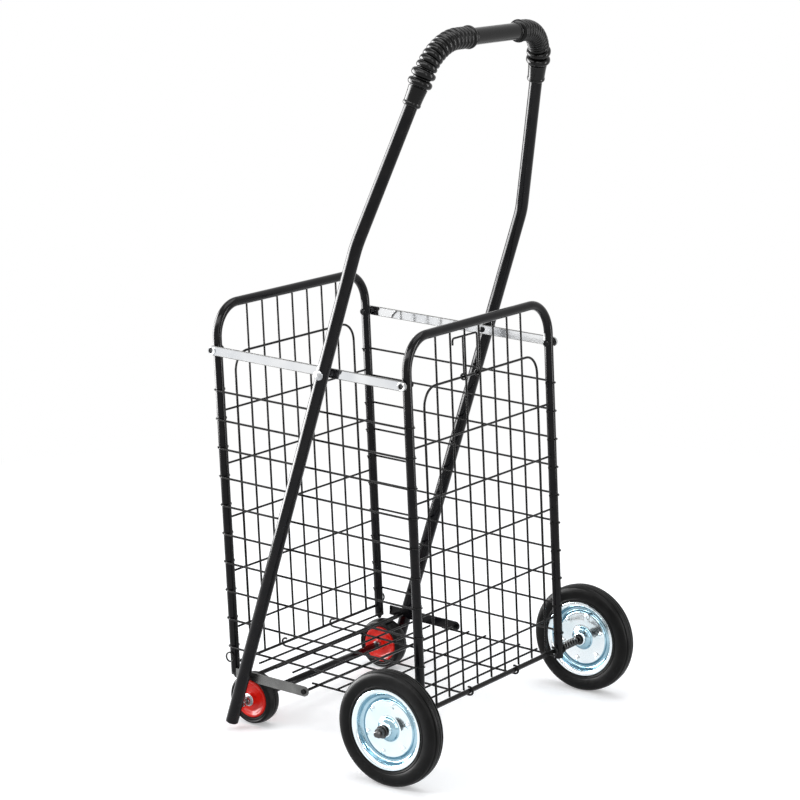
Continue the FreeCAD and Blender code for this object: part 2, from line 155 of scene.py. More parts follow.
def buildPlatedSkin():
    # plated or rolled metal: long grain, soft smears and small pits
    group, source, result = newGroup(
        "platedSkin", [("Scale", 60.0), ("Stretch", 12.0)], ["Gloss", "Tone", "Height"])
    coords = group.nodes.new("ShaderNodeTexCoord").outputs["Object"]
    squeeze = group.nodes.new("ShaderNodeVectorMath")
    squeeze.operation = "MULTIPLY"
    lengths = group.nodes.new("ShaderNodeCombineXYZ")
    lengths.inputs["X"].default_value = 1.0
    lengths.inputs["Y"].default_value = 1.0
    group.links.new(source.outputs["Stretch"], lengths.inputs["Z"])
    group.links.new(coords, squeeze.inputs[0])
    group.links.new(lengths.outputs[0], squeeze.inputs[1])
    grain = addNoise(group, addMath(group, "MULTIPLY", source.outputs["Scale"], 4.0), 4.0,
                     squeeze.outputs[0], 0.65)
    smear = addNoise(group, addMath(group, "MULTIPLY", source.outputs["Scale"], 0.5), 3.0, coords)
    pits = addNoise(group, addMath(group, "MULTIPLY", source.outputs["Scale"], 22.0), 1.0, coords)
    both = addMath(group, "MULTIPLY", addMath(group, "ADD", grain, smear), 0.5)
    group.links.new(addRange(group, both, 0.35, 0.65, 0.0, 1.0), result.inputs["Gloss"])
    group.links.new(addRange(group, smear, 0.35, 0.68, 0.0, 1.0), result.inputs["Tone"])
    group.links.new(addMath(group, "ADD", grain, addMath(group, "MULTIPLY", pits, 0.4)),
                    result.inputs["Height"])
    return group


def buildMouldedSkin():
    # moulded rubber or plastic: matt stipple, scuffs and a light bloom
    group, source, result = newGroup(
        "mouldedSkin", [("Scale", 500.0), ("Scuff", 0.5)], ["Gloss", "Tone", "Height"])
    coords = group.nodes.new("ShaderNodeTexCoord").outputs["Object"]
    stipple = addNoise(group, addMath(group, "MULTIPLY", source.outputs["Scale"], 4.0), 2.0, coords)
    bloom = addNoise(group, addMath(group, "MULTIPLY", source.outputs["Scale"], 0.07), 4.0, coords)
    scratch = addNoise(group, addMath(group, "MULTIPLY", source.outputs["Scale"], 0.4), 6.0, coords, 0.8)
    scuff = addMath(group, "MULTIPLY", addRange(group, scratch, 0.58, 0.7, 0.0, 1.0),
                    source.outputs["Scuff"])
    group.links.new(addRange(group, bloom, 0.3, 0.7, 0.0, 1.0), result.inputs["Gloss"])
    group.links.new(addMath(group, "MAXIMUM", addRange(group, bloom, 0.5, 0.8, 0.0, 0.6), scuff),
                    result.inputs["Tone"])
    group.links.new(addMath(group, "ADD", stipple, addMath(group, "MULTIPLY", scuff, 0.5)),
                    result.inputs["Height"])
    return group


effects = {"paintFilm": buildPaintFilm(), "platedSkin": buildPlatedSkin(),
           "mouldedSkin": buildMouldedSkin()}

# every finish: colours from and to over the tone mask, roughness from and to over the gloss mask
finishes = {
    "blackTube": {"effect": "paintFilm", "settings": {"Scale": 70.0, "Nibs": 0.3},
                  "colours": ((0.003, 0.003, 0.004), (0.009, 0.008, 0.008)), "rough": (0.10, 0.20),
                  "metal": 0.0, "specular": 0.12, "coat": 0.06, "coatRough": 0.05,
                  "bump": 0.04, "bumpSize": 0.0004},
    "blackWire": {"effect": "paintFilm", "settings": {"Scale": 120.0, "Nibs": 0.4},
                  "colours": ((0.003, 0.003, 0.003), (0.009, 0.008, 0.008)), "rough": (0.16, 0.28),
                  "metal": 0.0, "specular": 0.13, "coat": 0.05, "coatRough": 0.10,
                  "bump": 0.05, "bumpSize": 0.0003},
    "brightPlate": {"effect": "platedSkin", "settings": {"Scale": 34.0, "Stretch": 6.0},
                    "colours": ((0.88, 0.89, 0.90), (0.70, 0.72, 0.75)), "rough": (0.05, 0.10),
                    "metal": 1.0, "specular": 0.5, "coat": 0.0, "coatRough": 0.1,
                    "bump": 0.05, "bumpSize": 0.0002},
    # painted shade: a dark grey plate that stands in for shade and dark reflections on bright plate, used for
    # the near stay bracket and the strap edges
    "paintedShadePlate": {"effect": "platedSkin", "settings": {"Scale": 45.0, "Stretch": 9.0},
                  "colours": ((0.17, 0.17, 0.165), (0.08, 0.08, 0.078)), "rough": (0.22, 0.34),
                  "metal": 0.9, "specular": 0.4, "coat": 0.0, "coatRough": 0.1,
                  "bump": 0.08, "bumpSize": 0.0002},
    "wheelZinc": {"effect": "platedSkin", "settings": {"Scale": 26.0, "Stretch": 1.0},
                  "colours": ((0.66, 0.77, 0.81), (0.86, 0.90, 0.92)), "rough": (0.10, 0.16),
                  "metal": 0.95, "specular": 0.5, "coat": 0.08, "coatRough": 0.15,
                  "bump": 0.08, "bumpSize": 0.0003},
    # painted shade: a darker, bluer zinc for the disc's hollow ring and the slope round its boss, standing in
    # for the shade there
    "wheelZincShade": {"effect": "platedSkin", "settings": {"Scale": 34.0, "Stretch": 1.0},
                      "colours": ((0.22, 0.37, 0.45), (0.40, 0.56, 0.64)), "rough": (0.09, 0.15),
                      "metal": 0.95, "specular": 0.5, "coat": 0.08, "coatRough": 0.15,
                      "bump": 0.08, "bumpSize": 0.0003},
    "hardwareZinc": {"effect": "platedSkin", "settings": {"Scale": 130.0, "Stretch": 2.0},
                     "colours": ((0.62, 0.63, 0.64), (0.36, 0.37, 0.38)), "rough": (0.16, 0.32),
                     "metal": 1.0, "specular": 0.5, "coat": 0.0, "coatRough": 0.2,
                     "bump": 0.12, "bumpSize": 0.0003},
    "darkSteel": {"effect": "platedSkin", "settings": {"Scale": 160.0, "Stretch": 2.0},
                  "colours": ((0.10, 0.10, 0.10), (0.035, 0.034, 0.033)), "rough": (0.24, 0.40),
                  "metal": 0.9, "specular": 0.4, "coat": 0.0, "coatRough": 0.2,
                  "bump": 0.15, "bumpSize": 0.0003},
    "tyreRubber": {"effect": "mouldedSkin", "settings": {"Scale": 420.0, "Scuff": 0.30},
                   "colours": ((0.004, 0.004, 0.004), (0.013, 0.013, 0.013)), "rough": (0.26, 0.44),
                   "metal": 0.0, "specular": 0.10, "coat": 0.0, "coatRough": 0.3,
                   "bump": 0.20, "bumpSize": 0.0004},
    "gripRubber": {"effect": "mouldedSkin", "settings": {"Scale": 600.0, "Scuff": 0.10},
                   "colours": ((0.002, 0.002, 0.002), (0.006, 0.006, 0.006)), "rough": (0.16, 0.26),
                   "metal": 0.0, "specular": 0.13, "coat": 0.14, "coatRough": 0.09,
                   "bump": 0.12, "bumpSize": 0.0003},
    "redHub": {"effect": "paintFilm", "settings": {"Scale": 60.0, "Nibs": 0.2},
               "colours": ((0.62, 0.012, 0.006), (0.80, 0.026, 0.014)), "rough": (0.20, 0.32),
               "metal": 0.0, "specular": 0.16, "coat": 0.12, "coatRough": 0.08,
               "bump": 0.05, "bumpSize": 0.0004},
    "capPlastic": {"effect": "mouldedSkin", "settings": {"Scale": 500.0, "Scuff": 0.3},
                   "colours": ((0.006, 0.006, 0.006), (0.016, 0.016, 0.017)), "rough": (0.36, 0.52),
                   "metal": 0.0, "specular": 0.3, "coat": 0.0, "coatRough": 0.3,
                   "bump": 0.12, "bumpSize": 0.0003},
}


def makeFinish(name):
    recipe = finishes[name]
    material = bpy.data.materials.new(name)
    material.use_nodes = True
    tree = material.node_tree
    shader = tree.nodes["Principled BSDF"]
    effect = tree.nodes.new("ShaderNodeGroup")
    effect.node_tree = effects[recipe["effect"]]
    for label, value in recipe["settings"].items():
        effect.inputs[label].default_value = value
    blend = tree.nodes.new("ShaderNodeMix")
    blend.data_type = "RGBA"
    blend.inputs["A"].default_value = (*recipe["colours"][0], 1)
    blend.inputs["B"].default_value = (*recipe["colours"][1], 1)
    tree.links.new(effect.outputs["Tone"], blend.inputs["Factor"])
    tree.links.new(blend.outputs["Result"], shader.inputs["Base Color"])
    tree.links.new(addRange(tree, effect.outputs["Gloss"], 0.0, 1.0, *recipe["rough"]),
                   shader.inputs["Roughness"])
    bump = tree.nodes.new("ShaderNodeBump")
    bump.inputs["Strength"].default_value = recipe["bump"]
    bump.inputs["Distance"].default_value = recipe["bumpSize"]
    tree.links.new(effect.outputs["Height"], bump.inputs["Height"])
    tree.links.new(bump.outputs["Normal"], shader.inputs["Normal"])
    shader.inputs["Metallic"].default_value = recipe["metal"]
    shader.inputs["Specular IOR Level"].default_value = recipe["specular"]
    shader.inputs["Coat Weight"].default_value = recipe["coat"]
    shader.inputs["Coat Roughness"].default_value = recipe["coatRough"]
    return material


paints = {name: makeFinish(name) for name in finishes}
print("stage: finishes made")

# the record's material slots and the finish each one gets
slotFinish = {
    "gloss_black_tube": "blackTube", "gloss_black_wire": "blackWire", "bright_plate": "brightPlate",
    "zinc_wheel": "wheelZinc", "zinc_hardware": "hardwareZinc", "tyre_rubber": "tyreRubber",
    "grip_rubber": "gripRubber", "red_hub": "redHub", "black_plastic": "capPlastic"}
nodeSlot = {part["node"]: part["material_slot"] for part in frame["record"]["subparts"]}
# nodes with another finish than the rest of their slot: the near stay bracket is painted grey for the dark
# reflections it shows, the far one painted black for the shadow it lies in; the axle nuts are dark steel
nodeFinish = {"stay_bracket_near": "paintedShadePlate", "stay_bracket_far": "blackTube", "axle_nuts": "darkSteel"}


def finishOf(node):
    return nodeFinish.get(node, slotFinish[nodeSlot[node]])


def dressNodes():
    for name, obj in nodes.items():
        obj.data.materials.clear()
        obj.data.materials.append(paints[finishOf(name)])


dressNodes()
print("stage: carried-over nodes dressed")


# mesh helpers

def finishPiece(bm, name, node, finish=None, smoothAngle=35, zones=()):
    # zones: other finishes, each with a test on a face's middle
    bmesh.ops.recalc_face_normals(bm, faces=bm.faces)
    for face in bm.faces:
        middle = face.calc_center_median()
        for index, (zoneFinish, inside) in enumerate(zones):
            if inside(middle):
                face.material_index = index + 1
    mesh = bpy.data.meshes.new(name)
    bm.to_mesh(mesh)
    bm.free()
    piece = bpy.data.objects.new(name, mesh)
    bpy.context.scene.collection.objects.link(piece)
    mesh.shade_smooth()
    mesh.set_sharp_from_angle(angle=math.radians(smoothAngle))
    mesh.materials.append(paints[finish or finishOf(node)])
    for zoneFinish, inside in zones:
        mesh.materials.append(paints[zoneFinish])
    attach(piece, nodes[node]["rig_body"])
    return piece


def lathe(bm, profile, centre, steps, wobble=None):
    # turns a closed outline of (radius, y) points about a line along Y through the centre
    rings = []
    for i in range(steps):
        angle = 2 * math.pi * i / steps
        ring = []
        for radius, y in profile:
            push = wobble(angle, radius, y) if wobble else 0.0
            ring.append(bm.verts.new((centre.x + radius * math.cos(angle), centre.y + y + push,
                                      centre.z + radius * math.sin(angle))))
        rings.append(ring)
    count = len(profile)
    for i in range(steps):
        here, there = rings[i], rings[(i + 1) % steps]
        for j in range(count):
            k = (j + 1) % count
            bm.faces.new((here[j], here[k], there[k], there[j]))


def roundedLine(points, radii, steps):
    # straight runs joined by arcs, as a list of points
    line = [Vector(points[0])]
    for i in range(1, len(points) - 1):
        here = Vector(points[i])
        before = (here - Vector(points[i - 1])).normalized()
        after = (Vector(points[i + 1]) - here).normalized()
        turn = before.angle(after)
        cut = radii[i - 1] * math.tan(turn / 2)
        inward = (after - before).normalized()
        centre = here + inward * (radii[i - 1] / math.cos(turn / 2))
        start = here - before * cut - centre
        axis = before.cross(after).normalized()
        for step in range(steps + 1):
            line.append(centre + Matrix.Rotation(turn * step / steps, 3, axis) @ start)
    line.append(Vector(points[-1]))
    return line


def evenLine(line, spacing):
    # the same line with points at even distances
    result = [line[0].copy()]
    left = spacing
    for a, b in zip(line, line[1:]):
        run = (b - a).length
        done = 0.0
        while run - done >= left:
            done += left
            result.append(a + (b - a) * (done / run))
            left = spacing
        left -= run - done
    if (result[-1] - line[-1]).length > spacing * 0.3:
        result.append(line[-1].copy())
    return result


def tube(bm, line, radiusAt, sides):
    # skin of round sections along a line; radiusAt takes the distance from its start
    frames = []
    across = None
    for i, point in enumerate(line):
        ahead = line[min(i + 1, len(line) - 1)] - line[max(i - 1, 0)]
        along = ahead.normalized()
        if across is None:
            across = along.orthogonal().normalized()
        across = (across - along * across.dot(along)).normalized()
        frames.append((point, across.copy(), along.cross(across)))
    rings = []
    travelled = 0.0
    for i, (point, u, v) in enumerate(frames):
        if i:
            travelled += (point - frames[i - 1][0]).length
        radius = radiusAt(travelled)
        rings.append([bm.verts.new(point + (u * math.cos(2 * math.pi * k / sides)
                                            + v * math.sin(2 * math.pi * k / sides)) * radius)
                      for k in range(sides)])
    for here, there in zip(rings, rings[1:]):
        for k in range(sides):
            n = (k + 1) % sides
            bm.faces.new((here[k], here[n], there[n], there[k]))
    bm.faces.new(rings[0][::-1])
    bm.faces.new(rings[-1])


# tyres

bigTyre = {"tread": 0.0016, "grooves": (-0.0068, 0.0068), "grooveWide": 0.0012, "grooveDeep": 0.0012,
           "seam": 0.0006, "steps": 120}
smallTyre = {"tread": 0.0010, "grooves": (), "grooveWide": 0.001, "grooveDeep": 0.001,
             "seam": 0.0006, "steps": 88}


def tyreProfile(outer, inner, half, look):
    # section from one bead over the side wall and the tread to the other bead
    crown = outer - look["tread"]
    shoulder = half * 0.62
    side = []
    for i in range(9):
        turn = math.pi / 2 * i / 8
        side.append((crown - (crown - inner) * 0.42 * (1 - math.sin(turn)),
                     shoulder + (half - shoulder) * math.cos(turn)))
    wall = [(inner, half * 0.72), (inner + 0.0012, half * 0.86), (inner + 0.0030, half * 0.91),
            (inner + 0.0046, half * 0.88), (inner + 0.0056, half * 0.93)]
    right = wall + side
    tread = []
    for i in range(1, 12):
        y = shoulder * (1 - 2 * i / 12)
        tread.append((crown + look["tread"] * (1 - (y / shoulder) ** 2), y))
    for y in look["grooves"]:
        wide, deep = look["grooveWide"], look["grooveDeep"]
        tread = [p for p in tread if abs(p[1] - y) > wide * 1.4]
        base = crown + look["tread"] * (1 - (y / shoulder) ** 2)
        tread += [(base, y + wide), (base - deep, y + wide * 0.5), (base - deep, y - wide * 0.5),
                  (base, y - wide)]
    seam = look["seam"]
    tread = [p for p in tread if abs(p[1]) > seam * 1.5]
    tread += [(outer - 0.0004, seam), (outer, 0.0), (outer - 0.0004, -seam)]
    tread.sort(key=lambda p: -p[1])
    left = [(radius, -y) for radius, y in reversed(right)]
    return right + tread + left


def buildTyre(node, hubNode, look):
    size = sizeOf(node)
    outer = max(size.x, size.z) / 2
    inner = max(sizeOf(hubNode).x, sizeOf(hubNode).z) / 2 + 0.0001
    bm = bmesh.new()
    lathe(bm, tyreProfile(outer, inner, size.y / 2, look), centreOf(node), look["steps"])
    piece = finishPiece(bm, node + "_moulded", node)
    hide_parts(node)


for side in ("near", "far"):
    buildTyre("big_tyre_" + side, "big_disc_" + side, bigTyre)
    buildTyre("small_tyre_" + side, "small_hub_" + side, smallTyre)
print("stage: tyres built")

# wheel centres

axleBore = 0.0042  # through every wheel centre, washer and nut

# ring and cone: radii that bound the disc's faces taking the painted shade
bigDisc = {"dimples": 6, "dimpleAt": 0.0345, "dimpleWide": 0.0040, "dimpleHigh": 0.0021, "boss": 0.0085,
           "ring": (0.0388, 0.0490), "cone": 0.0176, "steps": 160}


def discProfile(rim, half, hub, look):
    # outer face from the bore out to the rim, as (radius, y) for the +y side
    boss, bore = look["boss"], axleBore
    return [(bore, hub), (bore + 0.0016, hub), (bore + 0.0020, hub - 0.0004), (bore + 0.0020, half - 0.0010),
            (bore + 0.0023, half - 0.0040), (boss - 0.0012, half - 0.0042), (boss - 0.0010, half + 0.0006),
            (boss - 0.0004, half + 0.0012), (boss + 0.0006, half + 0.0008), (boss + 0.0010, half - 0.0006),
            (boss + 0.0014, half - 0.0034), (boss + 0.0040, half - 0.0044), (boss + 0.0062, half - 0.0052),
            (boss + 0.0072, half - 0.0064), (boss + 0.0080, half - 0.0084), (boss + 0.0092, half - 0.0092),
            (0.0205, half - 0.0092), (0.0240, half - 0.0088), (0.0275, half - 0.0086),
            (0.0310, half - 0.0086), (0.0330, half - 0.0086), (0.0350, half - 0.0086),
            (0.0370, half - 0.0086), (0.0385, half - 0.0087), (0.0396, half - 0.0092),
            (0.0405, half - 0.0106), (0.0418, half - 0.0118), (0.0436, half - 0.0122),
            (0.0454, half - 0.0118), (0.0470, half - 0.0102), (0.0482, half - 0.0074),
            (rim - 0.0066, half - 0.0044), (rim - 0.0052, half - 0.0026), (rim - 0.0036, half - 0.0016),
            (rim - 0.0018, half - 0.0012), (rim - 0.0005, half - 0.0018), (rim, half - 0.0034)]


def buildDisc(node, look):
    size = sizeOf(node)
    half = sizeOf(node.replace("disc", "tyre")).y / 2
    rim = max(size.x, size.z) / 2
    outer = discProfile(rim, half, size.y / 2, look)
    profile = [(r, -y) for r, y in outer] + list(reversed(outer))

    def dimple(angle, radius, y):
        best = 0.0
        for i in range(look["dimples"]):
            a = 2 * math.pi * (i + 0.3) / look["dimples"]
            x = radius * math.cos(angle) - look["dimpleAt"] * math.cos(a)
            z = radius * math.sin(angle) - look["dimpleAt"] * math.sin(a)
            best = max(best, 1 - math.hypot(x, z) / look["dimpleWide"])
        return math.copysign(look["dimpleHigh"] * min(best * 2.2, 1.0), y) if best > 0 else 0.0

    bm = bmesh.new()
    lathe(bm, profile, centreOf(node), look["steps"], wobble=dimple)
    centre = centreOf(node)
    ring = look["ring"]

    def away(middle):
        return math.hypot(middle.x - centre.x, middle.z - centre.z)

    # painted shade: faces in the hollow ring and on the slope out from the boss
    def inPaintedShade(middle):
        return ring[0] < away(middle) < ring[1] or look["boss"] + 0.0012 < away(middle) < look["cone"]

    # partly painted shade: the bush face and the recessed groove round it take dark steel; the bush is darker
    # steel, the groove's darkness stands in for its shade
    def inShadedCentre(middle):
        return away(middle) < look["boss"] - 0.0010

    piece = finishPiece(bm, node + "_pressed", node, smoothAngle=42,
                        zones=(("wheelZincShade", inPaintedShade), ("darkSteel", inShadedCentre)))
    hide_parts(node)


smallHub = {"boss": 0.0075, "steps": 96}


def buildSmallHub(node, look):
    size = sizeOf(node)
    hub = size.y / 2
    half = sizeOf(node.replace("hub", "tyre")).y / 2
    rim = max(size.x, size.z) / 2
    boss = look["boss"]
    outer = [(axleBore, hub), (boss - 0.0006, hub), (boss, hub - 0.0006), (boss, half - 0.0040),
             (boss + 0.0012, half - 0.0058), (boss + 0.0040, half - 0.0066),
             (rim - 0.0095, half - 0.0064), (rim - 0.0070, half - 0.0052), (rim - 0.0052, half - 0.0026),
             (rim - 0.0036, half - 0.0012), (rim - 0.0018, half - 0.0010), (rim - 0.0006, half - 0.0014),
             (rim, half - 0.0026)]
    bm = bmesh.new()
    lathe(bm, [(r, -y) for r, y in outer] + list(reversed(outer)), centreOf(node), look["steps"])
    piece = finishPiece(bm, node + "_turned", node, smoothAngle=40)
    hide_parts(node)


for side in ("near", "far"):
    buildDisc("big_disc_" + side, bigDisc)
    buildSmallHub("small_hub_" + side, smallHub)
print("stage: wheel centres built")

# grips

# drop: sleeve below the bend; gap: from the middle of the bar to the ribs' inner end
grips = {
    "grip_near": {"side": -1, "drop": 0.090, "gap": 0.045},
    "grip_far": {"side": 1, "drop": 0.080, "gap": 0.060},
}
rib = {"core": 0.0118, "cuff": 0.026, "boldCount": 2, "boldPitch": 0.0125, "boldWide": 0.0105,
       "boldRadius": 0.0168, "fineCount": 13, "fineRadius": 0.0148, "lip": 0.0158}
handle = {"cornerY": 0.125, "kinkDrop": 0.266, "kinkBack": 0.0787, "bend": 0.058, "ribOver": 0.0146}
barSleeve = {"radius": 0.0114, "lip": 0.0010, "lipWide": 0.0016, "gap": 0.0004}


def gripLine(side, drop, gap):
    # middle line of a sleeve, from its lower end round the bend to its end on the bar
    high = Vector(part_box("grip_far")[1])
    bar = Vector((high.x - handle["ribOver"], 0, high.z - handle["ribOver"]))
    corner = Vector((bar.x, side * handle["cornerY"], bar.z))
    kink = Vector((bar.x - handle["kinkBack"], side * (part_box("handle_tube")[1][1] - cart["leg"]),
                   bar.z - handle["kinkDrop"]))
    down = (kink - corner).normalized()
    end = Vector((bar.x, side * gap, bar.z))
    return evenLine(roundedLine([corner + down * drop, corner, end], [handle["bend"]], 40), 0.0006)


def ribBulge(offset, wide, height):
    # one rounded ring, offset measured from its middle
    share = abs(offset) / (wide / 2)
    return height * (1 - share ** 2.4) ** 0.55 if share < 1 else 0.0


def buildGrip(node, shape):
    line = gripLine(shape["side"], shape["drop"], shape["gap"])
    total = sum((b - a).length for a, b in zip(line, line[1:]))
    fineFrom = rib["cuff"] + rib["boldCount"] * rib["boldPitch"]
    finePitch = (total - fineFrom - 0.004) / rib["fineCount"]

    def radiusAt(distance):
        edge = min(distance, total - distance)
        base = rib["core"] - 0.0014 * max(0.0, 1 - edge / 0.0018) ** 2
        if distance < rib["cuff"]:
            flare = 0.0014 * (distance / rib["cuff"]) ** 2
            return base + flare + ribBulge(distance - 0.0034, 0.004, 0.0006)
        if distance < fineFrom:
            index = int((distance - rib["cuff"]) / rib["boldPitch"])
            offset = distance - rib["cuff"] - (index + 0.5) * rib["boldPitch"]
            return base + ribBulge(offset, rib["boldWide"], rib["boldRadius"] - rib["core"])
        index = int((distance - fineFrom) / finePitch)
        if index >= rib["fineCount"]:
            return base
        offset = distance - fineFrom - (index + 0.5) * finePitch
        top = rib["lip"] if index == rib["fineCount"] - 1 else rib["fineRadius"]
        return base + 0.0006 + ribBulge(offset, finePitch * 0.94, top - rib["core"] - 0.0006)

    bm = bmesh.new()
    tube(bm, line, radiusAt, 56)
    piece = finishPiece(bm, node + "_ribbed", node, smoothAngle=60)
    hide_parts(node)


def buildBarSleeve():
    # plain sleeve over the bar between the two ribbed grips
    near, far = grips["grip_near"], grips["grip_far"]
    bar = gripLine(1, far["drop"], far["gap"])[-1]
    ends = (-near["gap"] + barSleeve["gap"], far["gap"] - barSleeve["gap"])
    line = evenLine([Vector((bar.x, ends[0], bar.z)), Vector((bar.x, ends[1], bar.z))], 0.001)
    length = ends[1] - ends[0]

    def radiusAt(distance):
        edge = min(distance, length - distance)
        return barSleeve["radius"] - barSleeve["lip"] * max(0.0, 1 - edge / barSleeve["lipWide"]) ** 2

    bm = bmesh.new()
    tube(bm, line, radiusAt, 56)
    finishPiece(bm, "barSleeve", "grip_far", smoothAngle=60)


for gripNode, gripShape in grips.items():
    buildGrip(gripNode, gripShape)
buildBarSleeve()
print("stage: grips built")

# axle, springs and nuts

axle = {"pitch": 0.00125, "threadLength": 0.034, "depth": 0.00045, "endCut": 0.0008}
spring = {"wire": 0.0009, "turns": 6, "radius": 0.0052, "collar": 0.0022}


def threadedRod(bm, centre, radius, half, threads):
    # rod with its end edges cut back and a thread cut in from each end
    profile = [(0.0, -half), (radius - threads["endCut"], -half)]
    for sign in (-1, 1):
        ends = (-half + 0.0006, -half + threads["threadLength"])
        y = ends[0]
        marks = []
        while y < ends[1]:
            marks.append((radius, y))
            marks.append((radius - threads["depth"], y + threads["pitch"] / 2))
            y += threads["pitch"]
        if sign > 0:
            marks = [(r, -p) for r, p in reversed(marks)]
        profile += marks
    profile += [(radius - threads["endCut"], half), (0.0, half)]
    profile = [(max(r, 0.0002), y) for r, y in profile]
    lathe(bm, profile, centre, 32)


def buildAxle(node, plainTo):
    # black between the posts or legs, bare threads beyond
    size = sizeOf(node)
    bm = bmesh.new()
    threadedRod(bm, centreOf(node), min(size.x, size.z) / 2, size.y / 2, axle)
    piece = finishPiece(bm, node + "_threaded", node, smoothAngle=25,
                        zones=(("darkSteel", lambda middle: abs(middle.y) > plainTo),))
    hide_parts(node)


buildAxle("rear_axle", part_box("rear_frame")[1][1])
buildAxle("small_axle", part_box("small_hub_far")[0][1])


def hexNut(bm, centre, y0, y1, across, turn):
    # six-sided nut with its corners chamfered on both faces; across is its corner radius
    steps = 48
    low, high = min(y0, y1), max(y0, y1)
    chamfer = (high - low) * 0.16
    rings = []
    for y, cut in ((low, 1), (low + chamfer, 0), (high - chamfer, 0), (high, 1)):
        ring = []
        for i in range(steps):
            angle = 2 * math.pi * i / steps
            sector = (angle % (math.pi / 3)) - math.pi / 6
            flat = across * math.cos(math.pi / 6) / math.cos(sector)
            radius = min(flat, across * 0.90) if cut else min(flat, across * 0.985)
            ring.append(bm.verts.new((centre.x + radius * math.cos(angle + turn), y,
                                      centre.z + radius * math.sin(angle + turn))))
        rings.append(ring)
    for y in (high, low):
        rings.append([bm.verts.new((centre.x + axleBore * math.cos(2 * math.pi * i / steps + turn), y,
                                    centre.z + axleBore * math.sin(2 * math.pi * i / steps + turn)))
                      for i in range(steps)])
    for here, there in zip(rings, rings[1:] + rings[:1]):
        for i in range(steps):
            n = (i + 1) % steps
            bm.faces.new((here[i], here[n], there[n], there[i]))


def washer(bm, centre, y0, y1, outer):
    low, high = min(y0, y1), max(y0, y1)
    edge = (high - low) * 0.25
    profile = [(axleBore, low), (outer - edge, low), (outer, low + edge), (outer, high - edge),
               (outer - edge, high), (axleBore, high)]
    lathe(bm, profile, Vector((centre.x, 0, centre.z)), 48)


# across: corner radius; turn: how far round each nut stopped
axleNut = {"across": 0.0075, "length": 0.0067, "washer": 0.0016, "turn": 0.3}
smallNut = {"across": 0.0072, "washer": 0.0014, "washerRadius": 0.009, "hub": 0.0065, "leg": 0.005,
            "back": 0.0055}


def buildAxleNuts():
    # from the outer face in: the nut, then its washer
    low, high = (Vector(corner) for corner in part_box("axle_nuts"))
    centre = centreOf("axle_nuts")
    outer = (high.x - low.x) / 2
    bm = bmesh.new()
    seat = high.y - axleNut["length"] - 0.0001
    for sign in (-1, 1):
        washer(bm, centre, sign * (seat - axleNut["washer"]), sign * seat, outer)
        hexNut(bm, centre, sign * (seat + 0.0001), sign * high.y, axleNut["across"], axleNut["turn"])
    piece = finishPiece(bm, "axleNutsChamfered", "axle_nuts", smoothAngle=25)
    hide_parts("axle_nuts")


def buildSprings():
    # end collar and coil spring on the axle, post to wheel
    low, high = (Vector(corner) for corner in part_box("axle_spacers"))
    centre = centreOf("axle_spacers")
    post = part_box("rear_frame")[1][1]
    outer = (high.x - low.x) / 2
    bm = bmesh.new()
    for sign in (-1, 1):
        inner = post + 0.0003
        washer(bm, centre, sign * inner, sign * (inner + spring["collar"]), outer * 0.9)
        start, end = inner + spring["collar"] + spring["wire"], high.y - spring["wire"]
        count = spring["turns"] * 20
        line = []
        for i in range(count + 1):
            angle = 2 * math.pi * spring["turns"] * i / count
            y = start + (end - start) * i / count
            line.append(Vector((centre.x + spring["radius"] * math.cos(angle), sign * y,
                                centre.z + spring["radius"] * math.sin(angle))))
        tube(bm, line, lambda d: spring["wire"], 10)
    piece = finishPiece(bm, "axleSprings", "axle_spacers", "darkSteel", smoothAngle=40)
    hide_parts("axle_spacers")


def buildSmallNuts():
    # hub washer and nut, leg nut and inner nut, mirrored
    centre = centreOf("small_axle_nuts")
    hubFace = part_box("small_hub_far")[1][1] + 0.0005
    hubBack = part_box("small_hub_far")[0][1] - 0.0005
    seat = hubFace + smallNut["washer"] + 0.0001
    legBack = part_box("handle_tube")[1][1] - 2 * cart["leg"] - 0.0002
    # inner face, outer face and turn of each nut
    nuts = ((seat, seat + smallNut["hub"], 0.2), (legBack - smallNut["leg"], legBack, 0.5),
            (hubBack - smallNut["back"], hubBack, 0.8))
    bm = bmesh.new()
    for sign in (-1, 1):
        washer(bm, centre, sign * hubFace, sign * (hubFace + smallNut["washer"]), smallNut["washerRadius"])
        for inner, outer, turn in nuts:
            hexNut(bm, centre, sign * inner, sign * outer, smallNut["across"], turn)
    piece = finishPiece(bm, "smallAxleNutsChamfered", "small_axle_nuts", smoothAngle=25)
    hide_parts("small_axle_nuts")


buildAxleNuts()
buildSprings()
buildSmallNuts()
print("stage: axle hardware built")

# rivets, wire ends and small fittings

rivet = {"flange": 0.0062, "lip": 0.0012, "bore": 0.0040, "depth": 0.0018, "tail": 0.0048,
         "shank": 0.003, "spacer": 0.005}
handleRivet = {"shank": 0.003, "spacer": 0.0065, "tail": 0.0044}


def mirroredLathe(profile, centre, steps=40):
    # the same outline turned on both sides of the middle plane
    bm = bmesh.new()
    for sign in (-1, 1):
        lathe(bm, [(r, sign * y) for r, y in profile], Vector((centre.x, 0, centre.z)), steps)
    return bm


